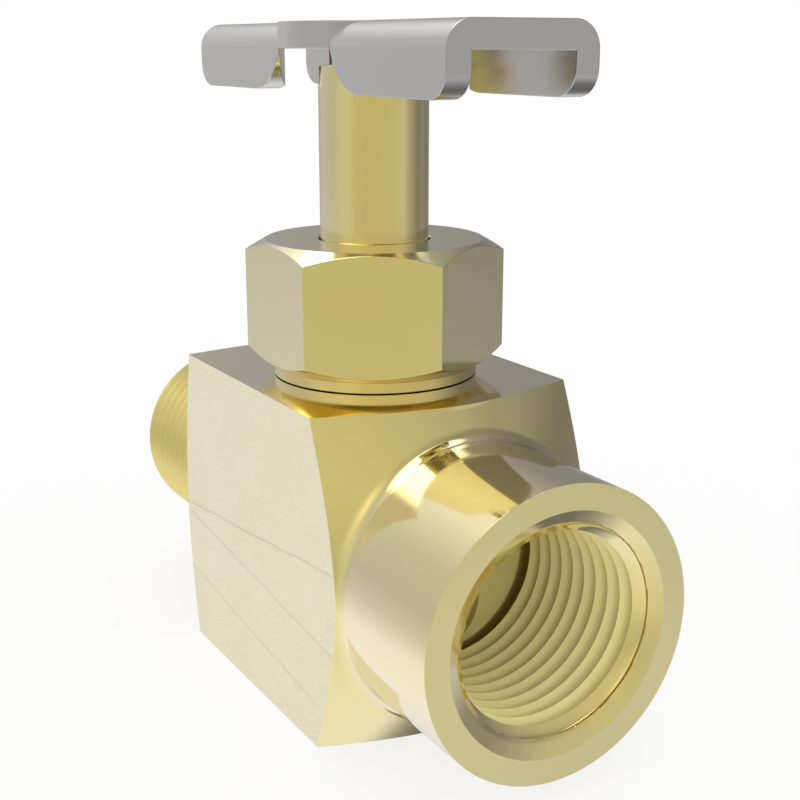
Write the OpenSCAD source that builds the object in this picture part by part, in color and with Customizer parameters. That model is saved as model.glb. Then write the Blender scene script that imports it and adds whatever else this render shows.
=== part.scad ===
// Needle-type shut-off valve in brass: one female and one male pipe thread, a packed
// rising stem and a stamped bar handle. Origin: middle of the flat base, under the stem.
// X runs along the pipe towards the female port, Z up the stem. Shown shut.

/* [Body] */
// Width of the body block across the pipe
body_width = 22.8; // [22.4:0.1:28]
// Height of the body block
body_height = 26.3; // [25.5:0.1:30]
// Height of the pipe axis above the flat base
axis_height = 12.8; // [12.3:0.1:13.6]
// Distance from the stem to the face of the female port
port_reach = 26.4; // [25.5:0.1:32]
// Distance from the stem to the end of the male thread
male_reach = 33; // [31:0.1:40]
// Diameter of the round hub that holds the female thread
hub_d = 22.2; // [21:0.1:22.4]
// Distance from the stem to the line where the front cone would meet the hub
front_x = 14.5; // [13.5:0.1:16]
// Slope of the turned front cone
front_slope = 30; // [20:1:38]
// Radius of the fillet between front cone and hub
hub_fillet = 1.65; // [0.8:0.05:2.4]
// Distance from the stem to the line where the rear cone meets the male end
rear_x = 15.3; // [14:0.1:17]
// Slope of the turned rear cone
rear_slope = 15; // [8:1:25]
// Diameter of the upright turned round in the block under the packing nut
neck_d = 26.6; // [24:0.1:27.6]

/* [Pipe threads] */
// Pitch of both taper pipe threads, 18 to the inch
pipe_pitch = 1.411; // [1.3:0.001:1.5]
// Height of the pipe thread's ridges
pipe_thread_h = 0.95; // [0.6:0.05:1.1]
// Diameter over the ridges of the male thread
male_d = 17.15; // [16.6:0.05:17.6]
// Length of the male thread from its end
male_thread_l = 15.6; // [12:0.1:16]
// Chamfer at the male end
male_chamfer = 0.9; // [0.5:0.05:1.4]
// Diameter over the ridges inside the female thread
port_d = 15; // [14:0.1:16]
// Depth of the female port
port_depth = 15.6; // [14.5:0.1:16.5]
// Diameter of the chamfered mouth of the female port
port_mouth_d = 18.3; // [17.6:0.1:19.4]
// Width of the plain groove behind the female thread
port_groove_w = 1.2; // [0.8:0.1:1.6]
// Width of the plain land between that groove and the port's floor
port_land_w = 0.3; // [0.2:0.05:0.6]

/* [Flow path] */
// Diameter of the bore in the male end
male_bore_d = 9; // [7:0.1:10.5]
// Depth of the bore in the male end
male_bore_l = 19; // [14:0.1:20]
// Diameter of the slanting passage under the seat
passage_d = 7; // [5:0.1:7.2]
// Slant of that passage
passage_slant = 20; // [18:1:24]
// How far below the pipe axis that passage starts
passage_drop = 3.5; // [3:0.1:3.7]
// Diameter of the passage from the male bore to the chamber
cross_d = 2.8; // [2:0.1:3]
// Diameter of the seat's orifice
orifice_d = 4.4; // [3:0.1:5]
// Width of the 45 degree seat around the orifice
seat_w = 0.8; // [0.4:0.1:1]
// How far the top of the seat lies below the pipe axis
seat_drop = 1; // [0.6:0.1:1.2]
// Diameter of the chamber over the seat
chamber_d = 11; // [10.4:0.1:11.6]
// Height of the chamber over the seat
chamber_h = 3.2; // [3:0.1:3.8]

/* [Stem] */
// Diameter of the stem where it passes the packing
stem_d = 8.75; // [8:0.05:9]
// Diameter over the stem's driving thread
drive_d = 9.5; // [9.2:0.05:9.8]
// Pitch of the driving thread
drive_pitch = 1.27; // [1:0.01:1.5]
// Height of the driving thread's ridges
drive_thread_h = 0.55; // [0.3:0.05:0.6]
// Turns of the handle from shut to fully open
open_turns = 3; // [1:0.5:3]
// Height of the stem's plain shank above the packing nut
stem_showing = 13.55; // [11:0.05:18]
// Diameter of the short neck under the handle
stem_neck_d = 7.2; // [6.6:0.1:8]
// Height of that neck
stem_neck_h = 1.2; // [0.6:0.1:2]
// Height of the stem's plain foot under the driving thread
stem_foot_h = 1.4; // [1.3:0.1:1.8]
// Height of the loose tip's collar over the seat
tip_collar_h = 0.7; // [0.5:0.1:0.9]
// Diameter of the loose tip's shank
tip_shank_d = 3.8; // [3.4:0.1:4]
// Length of that shank inside the stem
tip_shank_l = 3.4; // [2.6:0.1:4]
// How much narrower than the orifice the tip's nose is, on each side
tip_nose_step = 0.8; // [0.4:0.1:1.2]
// Diameter of the thrust ball between tip and stem
ball_d = 3; // [2.4:0.1:3.2]
// Diameter of the pin that keeps the tip in the stem
tip_pin_d = 1; // [0.8:0.05:1.05]
// How far that pin lies inside the stem's foot
pin_inset = 0.2; // [0.1:0.05:0.3]

/* [Packing] */
// Size of the packing nut across its flats
nut_flats = 18.2; // [17.4:0.1:20]
// Height of the packing nut's hexagon
nut_h = 10.8; // [9:0.1:14]
// Gap between the hexagon and the body
nut_gap = 0.2; // [0.1:0.05:0.8]
// Diameter of the packing nut's thread
nut_thread_d = 15.9; // [15.2:0.1:16.4]
// Pitch of the packing nut's thread
nut_pitch = 1; // [0.9:0.05:1.2]
// Height of the ridges of the packing nut's thread
nut_thread_h = 0.55; // [0.3:0.05:0.6]
// Width of the bevel under the packing nut's flats
nut_lower_bevel = 0.75; // [0.3:0.05:1]
// Width of the bevel over the packing nut's flats
nut_upper_bevel = 0.3; // [0.1:0.05:0.6]
// Depth of the threaded recess for the packing nut
recess_depth = 4.3; // [4.2:0.1:4.8]
// Diameter of the packing space inside the nut
packing_d = 12.6; // [12:0.1:13]
// Thickness of the washer under the packing
washer_t = 0.8; // [0.5:0.1:1.2]
// Height of each packing ring at its edge
ring_h = 1.2; // [1:0.1:1.3]
// Rise of the packing rings from edge to middle
ring_rise = 0.8; // [0.4:0.1:1]
// Number of V rings in the packing
ring_count = 3; // [3:1:3]
// Height of the gland follower over the packing
gland_h = 3.1; // [2.4:0.1:3.4]

/* [Handle] */
// Length of the handle from end to end
handle_l = 40.94; // [34:0.1:60]
// Width of the handle over its bent sides
handle_w = 12.3; // [11.6:0.1:13.6]
// Depth of the handle over its bent sides
handle_h = 5.2; // [4.4:0.1:7]
// Thickness of the handle's sheet steel
sheet_t = 2; // [1.6:0.05:2.2]
// Diameter of the round middle of the handle
disc_d = 14.9; // [14.2:0.1:16]
// Radius of the bent sides' outer bottom corners
outer_corner = 2.05; // [1:0.05:3]
// Radius of the bent sides' inner bottom corners
inner_corner = 4.55; // [3:0.05:5]
// How far the bent sides' inner ends run back from outside to inside
side_bevel = 3.2; // [2:0.1:4]
// Diameter of the stem's end in the handle
tenon_d = 6.2; // [5.4:0.1:6.4]
// Width of that end over its two flats
tenon_flats = 4.8; // [4.2:0.1:5.2]
// Diameter of the handle screw's thread
screw_d = 3; // [2.5:0.1:3.2]
// Diameter of the handle screw's flush head
screw_head_d = 5.6; // [5:0.1:6]
// Length of the handle screw
screw_l = 8; // [6:0.5:12]
// Width of the hexagon socket in the handle screw
screw_socket = 2; // [1.5:0.1:2.5]

/* [Fits] */
// Radial clearance of parts that turn or slide in each other
running_fit = 0.05; // [0.03:0.01:0.08]
// Radial clearance of threads and loose holes
thread_fit = 0.1; // [0.06:0.01:0.12]
// Clearance between parts that lie on each other
face_gap = 0.02; // [0.01:0.01:0.03]
// Radial clearance between the stem and the hole in the packing nut
stem_hole_gap = 0.15; // [0.1:0.05:0.3]

/* [Hidden] */
$fn = 96;
brass = "#d9c27c";
turned_brass = "#cdb765";
steel = "#aba9a6";
white_packing = "#e9e6dc";
past = 1;
drill_point = 31;
lower_bevel_slope = 43;
upper_bevel_slope = 30;
pipe_top_share = 0.3;
pipe_root_share = 0.12;
drive_top_share = 0.2;

// Heights from the base up
recess_floor = body_height - recess_depth;
seat_top = axis_height - seat_drop;
orifice_top = seat_top - seat_w;
seat_top_r = orifice_d / 2 + seat_w;
chamber_top = seat_top + chamber_h;
nut_bottom = body_height + nut_gap;
nut_top = nut_bottom + nut_h;
shoulder_z = nut_top + stem_showing;
plate_bottom = shoulder_z + stem_neck_h;
plate_top = plate_bottom + sheet_t;
sides_bottom = plate_top - handle_h;
lift = open_turns * drive_pitch;

// Places along the pipe
port_floor = port_reach - port_depth;
male_bore_end = male_bore_l - male_reach;

// The stem's thread stops under the washer when the valve is fully open
drive_top = recess_floor - lift - 2 * running_fit;
drive_bottom = seat_top + tip_collar_h + thread_fit + stem_foot_h;
drive_hole_r = drive_d / 2 + thread_fit;
drive_turns = floor((recess_floor - chamber_top) / drive_pitch);
stem_turns = floor((drive_top - drive_bottom) / drive_pitch);

// The packing stack
packing_inner_r = stem_d / 2 + running_fit;
packing_outer_r = packing_d / 2 - running_fit;
packing_middle_r = (packing_inner_r + packing_outer_r) / 2;
washer_top = recess_floor + washer_t;
first_edge = washer_top + face_gap + ring_h / 3;
ring_step = ring_h + face_gap;
stack_edge = first_edge + face_gap + ring_count * ring_step;
stack_top = stack_edge + ring_rise + ring_h;
gland_bottom = stack_top + face_gap;
gland_top = gland_bottom + gland_h;
nut_roof = gland_top + face_gap;
shank_bottom = recess_floor + 2 * thread_fit + washer_t / 4;
nut_turns = floor((nut_bottom - shank_bottom) / nut_pitch);

// The loose tip in the foot of the stem
tip_r = seat_top_r + seat_w / 4;
tip_collar_top = seat_top + tip_collar_h;
stem_foot = tip_collar_top + thread_fit;
stem_foot_r = tip_r;
tip_bore_r = tip_shank_d / 2 + thread_fit;
pin_z = stem_foot + tip_pin_d / 2 + pin_inset;
pin_x = tip_shank_d / 2;
pin_l = 2 * sqrt(pow(stem_foot_r, 2) - pow(pin_x, 2)) - pin_inset;
tip_groove_r = pin_x - tip_pin_d / 2 - running_fit;
tip_groove_w = tip_pin_d + 2 * running_fit;
tip_shank_top = stem_foot + tip_shank_l;
ball_z = tip_shank_top + face_gap + ball_d / 2;
tip_bore_top = ball_z + ball_d / 2 + face_gap;

// The handle's fixing
screw_head_h = (screw_head_d - screw_d) / 2;
tenon_h = sheet_t - screw_head_h - running_fit;
end_x = handle_l / 2;
side_y = handle_w / 2;
disc_r = disc_d / 2;
side_start = sqrt(pow(disc_r, 2) - pow(side_y, 2));

function arc(center, radius, from, to, steps = 8) =
    [for (i = [0:steps])
        let (a = from + (to - from) * i / steps)
        [center[0] + radius * cos(a), center[1] + radius * sin(a)]];

// Outline of a thread's ridges as separate rings, from inner to outer radius
function thread_rings(inner_r, outer_r, start, pitch, turns, outer_share, inner_share) =
    let (flank = (1 - outer_share - inner_share) / 2)
    [for (i = [0:turns - 1])
        let (z = start + (i + inner_share / 2) * pitch)
        each [
            [inner_r, z],
            [outer_r, z + flank * pitch],
            [outer_r, z + (flank + outer_share) * pitch],
            [inner_r, z + (2 * flank + outer_share) * pitch]
        ]];

// Turns an outline of [radius, place along the pipe] about the pipe axis
module about_pipe(outline) {
    translate([0, 0, axis_height]) rotate([0, 90, 0]) rotate_extrude() polygon(outline);
}

module about_stem(outline) {
    rotate_extrude() polygon(outline);
}

module between(r, low, high) {
    translate([0, 0, low]) cylinder(r = r, h = high - low);
}

// Square bar with both ends turned to cones
module body_block() {
    hub_r = hub_d / 2;
    far_r = body_width + axis_height;
    tangent_l = hub_fillet * tan((90 - front_slope) / 2);
    fillet = arc([front_x + tangent_l, hub_r + hub_fillet], hub_fillet, 180 + front_slope, 270);
    intersection() {
        translate([-male_reach, -body_width / 2, 0])
            cube([male_reach + port_reach, body_width, body_height]);
        about_pipe(concat(
            [
                [0, -rear_x],
                [male_d / 2, -rear_x],
                [far_r, (far_r - male_d / 2) * tan(rear_slope) - rear_x],
                [far_r, front_x - (far_r - hub_r) * tan(front_slope)]
            ],
            [for (p = fillet) [p[1], p[0]]],
            [[0, front_x + tangent_l]]
        ));
    }
}

module neck_round() {
    intersection() {
        between(neck_d / 2, 0, body_height);
        translate([-neck_d, -body_width / 2, 0]) cube([2 * neck_d, body_width, body_height]);
    }
}

module male_end() {
    r = male_d / 2;
    root_r = r - pipe_thread_h;
    start = male_chamfer - male_reach;
    turns = floor((male_thread_l - male_chamfer) / pipe_pitch);
    about_pipe(concat(
        [[0, -male_reach], [r - male_chamfer, -male_reach], [root_r, start]],
        thread_rings(root_r, r, start, pipe_pitch, turns, pipe_top_share, pipe_root_share),
        [
            [root_r, start + turns * pipe_pitch],
            [r, start + turns * pipe_pitch + pipe_thread_h],
            [r, 0],
            [0, 0]
        ]
    ));
}

module hub() {
    about_pipe([[0, 0], [hub_d / 2, 0], [hub_d / 2, port_reach], [0, port_reach]]);
}

module female_port() {
    r = port_d / 2;
    groove_r = r + pipe_thread_h;
    mouth_r = port_mouth_d / 2;
    mouth_x = port_reach + r - mouth_r;
    groove_x = port_floor + port_land_w;
    thread_x = groove_x + port_groove_w;
    turns = ceil((mouth_x - thread_x) / pipe_pitch);
    about_pipe(concat(
        [
            [0, port_floor],
            [r, port_floor],
            [r, groove_x],
            [groove_r, groove_x],
            [groove_r, thread_x],
            [r, thread_x]
        ],
        thread_rings(r, groove_r, thread_x, pipe_pitch, turns, pipe_root_share, pipe_top_share),
        [[r, port_reach + past], [0, port_reach + past]]
    ));
    about_pipe([
        [0, port_reach - mouth_r],
        [mouth_r, port_reach],
        [mouth_r, port_reach + past],
        [0, port_reach + past]
    ]);
}

// Drilled hole with its pointed end, begun outside so that a slanting one cuts its face whole
module drilled(d, l) {
    point_h = d / 2 * tan(drill_point);
    about_stem([[0, -d / 2], [d / 2, -d / 2], [d / 2, l], [0, l + point_h]]);
}

module under_seat_passage() {
    reach = (port_floor + orifice_d / 8) / cos(passage_slant);
    end_z = axis_height - passage_drop - port_floor * tan(passage_slant);
    translate([port_floor, 0, axis_height - passage_drop])
        rotate([0, -90 - passage_slant, 0])
            drilled(passage_d, reach);
    between(orifice_d / 2, end_z, orifice_top);
}

module seat_and_chamber() {
    about_stem([
        [0, orifice_top - seat_w],
        [orifice_d / 2, orifice_top - seat_w],
        [orifice_d / 2, orifice_top],
        [seat_top_r, seat_top],
        [chamber_d / 2, seat_top],
        [chamber_d / 2, chamber_top],
        [0, chamber_top]
    ]);
}

module male_bore() {
    translate([-male_reach, 0, axis_height]) rotate([0, 90, 0]) drilled(male_bore_d, male_bore_l);
    translate([male_bore_end - past, 0, seat_top + chamber_h / 2])
        rotate([0, 90, 0])
            cylinder(d = cross_d, h = -male_bore_end - chamber_d / 4);
}

module drive_hole() {
    about_stem(concat(
        [[0, chamber_top - past], [drive_hole_r, chamber_top - past]],
        thread_rings(
            drive_hole_r, drive_hole_r + drive_thread_h, chamber_top, drive_pitch, drive_turns,
            drive_top_share, drive_top_share
        ),
        [[drive_hole_r, recess_floor + past / 2], [0, recess_floor + past / 2]]
    ));
}

// The packing nut's thread, grown by a clearance for the recess that it screws into
module nut_thread(low, high, grow) {
    r = nut_thread_d / 2 + grow;
    about_stem(concat(
        [[0, low], [r - nut_thread_h, low]],
        thread_rings(
            r - nut_thread_h, r, shank_bottom, nut_pitch, nut_turns,
            drive_top_share, drive_top_share
        ),
        [[r - nut_thread_h, high], [0, high]]
    ));
}

module body() {
    color(brass)
    difference() {
        union() {
            body_block();
            neck_round();
            male_end();
            hub();
        }
        female_port();
        under_seat_passage();
        seat_and_chamber();
        male_bore();
        drive_hole();
        nut_thread(recess_floor, body_height + past, thread_fit);
    }
}

module packing_nut() {
    corner_r = nut_flats / 2 / cos(30);
    outside_r = corner_r + past;
    lower_face_r = nut_flats / 2 - nut_lower_bevel;
    upper_face_r = nut_flats / 2 - nut_upper_bevel;
    color(brass)
    difference() {
        union() {
            nut_thread(shank_bottom, nut_bottom + past, 0);
            intersection() {
                translate([0, 0, nut_bottom]) cylinder(r = corner_r, h = nut_h, $fn = 6);
                about_stem([
                    [0, nut_bottom],
                    [lower_face_r, nut_bottom],
                    [outside_r, nut_bottom + (outside_r - lower_face_r) * tan(lower_bevel_slope)],
                    [outside_r, nut_top - (outside_r - upper_face_r) * tan(upper_bevel_slope)],
                    [upper_face_r, nut_top],
                    [0, nut_top]
                ]);
            }
        }
        between(packing_d / 2, shank_bottom - past, nut_roof);
        between(stem_d / 2 + stem_hole_gap, nut_roof - past, nut_top + past);
    }
}

module packing_washer() {
    color(turned_brass)
    about_stem([
        [stem_d / 2 + thread_fit, recess_floor + face_gap],
        [packing_outer_r, recess_floor + face_gap],
        [packing_outer_r, washer_top],
        [stem_d / 2 + thread_fit, washer_top]
    ]);
}

module packing_bottom_ring() {
    color(white_packing)
    about_stem([
        [packing_inner_r, washer_top + face_gap],
        [packing_outer_r, washer_top + face_gap],
        [packing_outer_r, first_edge],
        [packing_middle_r, first_edge + ring_rise],
        [packing_inner_r, first_edge]
    ]);
}

module v_ring(index) {
    edge = first_edge + face_gap + index * ring_step;
    color(white_packing)
    about_stem([
        [packing_inner_r, edge],
        [packing_middle_r, edge + ring_rise],
        [packing_outer_r, edge],
        [packing_outer_r, edge + ring_h],
        [packing_middle_r, edge + ring_h + ring_rise],
        [packing_inner_r, edge + ring_h]
    ]);
}

module packing_v_ring_lower() { v_ring(0); }
module packing_v_ring_middle() { v_ring(1); }
module packing_v_ring_upper() { v_ring(2); }

module packing_top_ring() {
    color(white_packing)
    about_stem([
        [packing_inner_r, stack_edge],
        [packing_middle_r, stack_edge + ring_rise],
        [packing_outer_r, stack_edge],
        [packing_outer_r, stack_top],
        [packing_inner_r, stack_top]
    ]);
}

module gland_follower() {
    color(turned_brass)
    difference() {
        between(packing_outer_r, gland_bottom, gland_top);
        between(stem_d / 2 + running_fit, gland_bottom - past, gland_top + past);
    }
}

module needle_tip() {
    cone_gap = running_fit * sqrt(2);
    nose_r = orifice_d / 2 - tip_nose_step;
    nose_z = orifice_top + cone_gap - tip_nose_step;
    color(turned_brass)
    about_stem([
        [0, nose_z],
        [nose_r, nose_z],
        [tip_r, orifice_top + tip_r + cone_gap - orifice_d / 2],
        [tip_r, tip_collar_top],
        [tip_groove_r, tip_collar_top],
        [tip_groove_r, pin_z + tip_groove_w / 2],
        [tip_shank_d / 2, pin_z + tip_groove_w / 2],
        [tip_shank_d / 2, tip_shank_top],
        [0, tip_shank_top]
    ]);
}

module flatted_round(d, flats, h) {
    intersection() {
        cylinder(d = d, h = h);
        translate([-d, -flats / 2, -past]) cube([2 * d, flats, h + 2 * past]);
    }
}

module stem() {
    root_r = drive_d / 2 - drive_thread_h;
    color(turned_brass)
    difference() {
        union() {
            about_stem(concat(
                [
                    [0, stem_foot],
                    [stem_foot_r, stem_foot],
                    [stem_foot_r, drive_bottom],
                    [root_r, drive_bottom]
                ],
                thread_rings(
                    root_r, drive_d / 2, drive_bottom, drive_pitch, stem_turns,
                    drive_top_share, drive_top_share
                ),
                [
                    [root_r, drive_top],
                    [stem_d / 2, drive_top + stem_d / 2 - root_r],
                    [stem_d / 2, shoulder_z],
                    [stem_neck_d / 2, shoulder_z],
                    [stem_neck_d / 2, plate_bottom - face_gap],
                    [0, plate_bottom - face_gap]
                ]
            ));
            translate([0, 0, shoulder_z])
                flatted_round(tenon_d, tenon_flats, stem_neck_h + tenon_h);
        }
        between(tip_bore_r, stem_foot - past, tip_bore_top);
        translate([pin_x, 0, pin_z]) rotate([90, 0, 0])
            cylinder(d = tip_pin_d + face_gap, h = 2 * stem_d, center = true);
        between(screw_d / 2 + face_gap, plate_top - screw_l - past, plate_top);
    }
}

module thrust_ball() {
    color(steel) translate([0, 0, ball_z]) sphere(d = ball_d);
}

module tip_pin() {
    color(steel) translate([pin_x, 0, pin_z]) rotate([90, 0, 0])
        cylinder(d = tip_pin_d, h = pin_l, center = true);
}

// Inverted channel as it looks from its end
module handle_section() {
    half = concat([[side_y, sides_bottom]], arc([side_y - sheet_t, plate_bottom], sheet_t, 0, 90));
    other_half = [for (i = [len(half) - 1:-1:0]) [-half[i][0], half[i][1]]];
    polygon(concat(
        half, other_half,
        [
            [sheet_t - side_y, sides_bottom],
            [sheet_t - side_y, plate_bottom],
            [side_y - sheet_t, plate_bottom],
            [side_y - sheet_t, sides_bottom]
        ]
    ));
}

// One arm as it looks from the side
module handle_side_view() {
    polygon(concat(
        arc([side_start + inner_corner, sides_bottom + inner_corner], inner_corner, 180, 270),
        arc([end_x - outer_corner, sides_bottom + outer_corner], outer_corner, 270, 360),
        [[end_x, plate_top + past], [side_start, plate_top + past]]
    ));
}

// One arm as it looks from above
module handle_plan() {
    strip_y = side_y - sheet_t;
    polygon([
        [0, -strip_y],
        [side_start + side_bevel, -strip_y],
        [side_start, -side_y],
        [side_start, -side_y - past],
        [end_x + past, -side_y - past],
        [end_x + past, side_y + past],
        [side_start, side_y + past],
        [side_start, side_y],
        [side_start + side_bevel, strip_y],
        [0, strip_y]
    ]);
}

module handle_arm() {
    intersection() {
        rotate([90, 0, 90]) linear_extrude(handle_l) handle_section();
        translate([0, handle_w, 0]) rotate([90, 0, 0]) linear_extrude(2 * handle_w) handle_side_view();
        linear_extrude(plate_top + 2 * past) handle_plan();
    }
}

module handle() {
    color(steel)
    difference() {
        union() {
            between(disc_r, plate_bottom, plate_top);
            handle_arm();
            mirror([1, 0, 0]) handle_arm();
        }
        translate([0, 0, plate_bottom - past])
            flatted_round(
                tenon_d + 2 * running_fit,
                tenon_flats + 2 * running_fit,
                tenon_h + running_fit + past
            );
        about_stem([
            [0, plate_bottom],
            [screw_d / 2 + running_fit, plate_bottom],
            [screw_d / 2 + running_fit, plate_top - screw_head_h],
            [screw_head_d / 2 + running_fit, plate_top],
            [screw_head_d / 2 + running_fit, plate_top + past],
            [0, plate_top + past]
        ]);
    }
}

module handle_screw() {
    top_z = plate_top - face_gap;
    color(steel)
    difference() {
        about_stem([
            [0, plate_top - screw_l],
            [screw_d / 2, plate_top - screw_l],
            [screw_d / 2, top_z - screw_head_h],
            [screw_head_d / 2, top_z],
            [0, top_z]
        ]);
        translate([0, 0, plate_top - screw_head_h])
            cylinder(r = screw_socket / 2 / cos(30), h = screw_head_h + past, $fn = 6);
    }
}

body();
packing_nut();
packing_washer();
packing_bottom_ring();
packing_v_ring_lower();
packing_v_ring_middle();
packing_v_ring_upper();
packing_top_ring();
gland_follower();
needle_tip();
stem();
thrust_ball();
tip_pin();
handle();
handle_screw();
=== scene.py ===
import math

import bmesh
import bpy
from mathutils import Matrix, Vector


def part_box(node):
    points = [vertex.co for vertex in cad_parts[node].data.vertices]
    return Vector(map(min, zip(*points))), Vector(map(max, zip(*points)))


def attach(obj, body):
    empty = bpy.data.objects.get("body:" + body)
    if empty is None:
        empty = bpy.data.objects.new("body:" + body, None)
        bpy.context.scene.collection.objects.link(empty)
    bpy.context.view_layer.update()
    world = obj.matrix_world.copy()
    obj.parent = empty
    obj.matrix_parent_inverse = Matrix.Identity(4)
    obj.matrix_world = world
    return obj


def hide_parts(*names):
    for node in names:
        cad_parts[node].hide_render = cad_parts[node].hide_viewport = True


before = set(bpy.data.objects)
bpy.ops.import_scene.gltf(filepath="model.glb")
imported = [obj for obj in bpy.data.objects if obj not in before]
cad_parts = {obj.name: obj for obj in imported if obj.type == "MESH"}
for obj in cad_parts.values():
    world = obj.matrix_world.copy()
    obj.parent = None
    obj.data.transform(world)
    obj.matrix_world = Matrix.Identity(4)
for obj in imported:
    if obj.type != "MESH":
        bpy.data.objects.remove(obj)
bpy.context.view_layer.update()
scene = bpy.context.scene
mm = 0.001
print("frame loaded with", len(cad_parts), "nodes")

# sizes in millimetres that several pieces share, read from the frame where it has them
bodyLow, bodyHigh = [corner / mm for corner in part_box("body")]
nutLow, nutHigh = [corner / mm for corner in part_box("packing_nut")]
stemLow, stemHigh = [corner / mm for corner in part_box("stem")]
handleLow, handleHigh = [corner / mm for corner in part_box("handle")]
pipeHeight = 12.8  # pipe axis over the flat base
past = 1  # how far a cutting piece reaches past the surface that it cuts
slack = 0.02  # how near a point counts as being at a place
hair = 0.001  # keeps two rings of an outline from meeting
joinWithin = 0.002  # corners closer than this become one
straightOn = 0.99  # how squarely a face has to look along an axis, where 1 is exactly
fullTurn = 2 * math.pi


def linearColour(code):
    # sRGB hex such as "#c4b470" to the linear colour that the shaders take
    parts = [int(code[i:i + 2], 16) / 255 for i in (1, 3, 5)]
    return [p / 12.92 if p <= 0.04045 else ((p + 0.055) / 1.055) ** 2.4 for p in parts] + [1]


def addNode(tree, kind, settings=None, links=None):
    node = tree.nodes.new("ShaderNode" + kind)
    for key, value in (settings or {}).items():
        if isinstance(key, int) or key in node.inputs:
            node.inputs[key].default_value = value
        else:
            setattr(node, key, value)
    for key, source in (links or {}).items():
        tree.links.new(source, node.inputs[key])
    return node


def newMaterial(name):
    material = bpy.data.materials.new(name)
    material.use_nodes = True
    material.node_tree.nodes.clear()
    return material, material.node_tree


def toPiece(name, bm):
    bmesh.ops.recalc_face_normals(bm, faces=bm.faces)
    mesh = bpy.data.meshes.new(name)
    bm.to_mesh(mesh)
    bm.free()
    piece = bpy.data.objects.new(name, mesh)
    scene.collection.objects.link(piece)
    return piece


def turned(name, outline, alongPipe=False, steps=256, threadAt=None, closed=True):
    # outline is a list of (place along the axis, radius), from one end to the other;
    # threadAt moves a point of it to where the thread has it at that angle
    bm = bmesh.new()
    rings = []
    for along, radius in outline:
        ring = []
        for i in range(steps if radius else 1):
            angle = fullTurn * i / steps
            at, r = threadAt(along, angle, radius) if threadAt else (along, radius)
            side, up = r * math.cos(angle), r * math.sin(angle)
            place = (at, side, pipeHeight + up) if alongPipe else (side, up, at)
            ring.append(bm.verts.new(place))
        rings.append(ring)
    for one, two in zip(rings, rings[1:]):
        for i in range(steps):
            j = (i + 1) % steps
            corners = [one[i % len(one)], one[j % len(one)], two[j % len(two)], two[i % len(two)]]
            if threadAt:
                # split the way the thread climbs, so that its crest is a line of edges
                bm.faces.new(corners[:3])
                bm.faces.new([corners[0], corners[2], corners[3]])
            else:
                bm.faces.new(list(dict.fromkeys(corners)))
    for ring in (rings[0], rings[-1]):
        if closed and len(ring) > 1:
            bm.faces.new(ring)
    return toPiece(name, bm)


def prism(name, outline, toward, low, high):
    # outline lies in the two other axes, in the order x, y, z
    bm = bmesh.new()
    ends = []
    for level in (low, high):
        ends.append([])
        for a, b in outline:
            place = {"x": (level, a, b), "y": (a, level, b), "z": (a, b, level)}[toward]
            ends[-1].append(bm.verts.new(place))
    count = len(outline)
    for i in range(count):
        j = (i + 1) % count
        bm.faces.new([ends[0][i], ends[0][j], ends[1][j], ends[1][i]])
    bm.faces.new(ends[0])
    bm.faces.new(ends[1])
    return toPiece(name, bm)


def block(name, low, high):
    sides = [(low[0], low[1]), (high[0], low[1]), (high[0], high[1]), (low[0], high[1])]
    return prism(name, sides, "z", low[2], high[2])


def arc(centre, radius, start, end, steps=16):
    turns = [math.radians(start + (end - start) * i / steps) for i in range(steps + 1)]
    return [(centre[0] + radius * math.cos(t), centre[1] + radius * math.sin(t)) for t in turns]


def settle(piece):
    # takes the modifiers into the mesh
    bpy.context.view_layer.update()
    shown = piece.evaluated_get(bpy.context.evaluated_depsgraph_get())
    mesh = bpy.data.meshes.new_from_object(shown)
    piece.modifiers.clear()
    piece.data = mesh


def combine(piece, other, how):
    # how is UNION, INTERSECT or DIFFERENCE
    modifier = piece.modifiers.new(how.lower(), "BOOLEAN")
    modifier.operation = how
    modifier.solver = "EXACT"
    modifier.object = other
    settle(piece)
    bpy.data.objects.remove(other)


def joinFlatFaces(piece, within=0.3):
    # faces in one plane, to within this many degrees, become one face, so no seam shows
    bm = bmesh.new()
    bm.from_mesh(piece.data)
    bmesh.ops.remove_doubles(bm, verts=bm.verts, dist=joinWithin)
    bmesh.ops.dissolve_limit(
        bm, angle_limit=math.radians(within), verts=bm.verts, edges=bm.edges,
    )
    bm.to_mesh(piece.data)
    bm.free()


def breakEdges(piece, width, angle=48, segments=2):
    # the small chamfer that every machined edge gets, so that it catches the light
    modifier = piece.modifiers.new("edge break", "BEVEL")
    modifier.width = width
    modifier.segments = segments
    modifier.limit_method = "ANGLE"
    modifier.angle_limit = math.radians(angle)
    modifier.use_clamp_overlap = False
    modifier.harden_normals = False
    settle(piece)


def finishPiece(piece, node, body, materials, angle=25):
    # takes the piece to metres, dresses it and puts it in the place of its CAD node
    mesh = piece.data
    bm = bmesh.new()
    bm.from_mesh(mesh)
    bmesh.ops.remove_doubles(bm, verts=bm.verts, dist=joinWithin)
    bm.to_mesh(mesh)
    bm.free()
    mesh.shade_smooth()
    mesh.set_sharp_from_angle(angle=math.radians(angle))
    modifier = piece.modifiers.new("flat faces stay flat", "WEIGHTED_NORMAL")
    modifier.keep_sharp = True
    modifier.weight = 100  # the largest face at a corner decides
    settle(piece)
    mesh = piece.data
    mesh.transform(Matrix.Scale(mm, 4))
    for material in materials:
        mesh.materials.append(material)
    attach(piece, body)
    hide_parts(node)
    print(piece.name, "has", len(mesh.polygons), "faces")


lacquerGloss = "#F6F1E4"  # what the clear lacquer mirrors where it is seen edge-on


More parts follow.
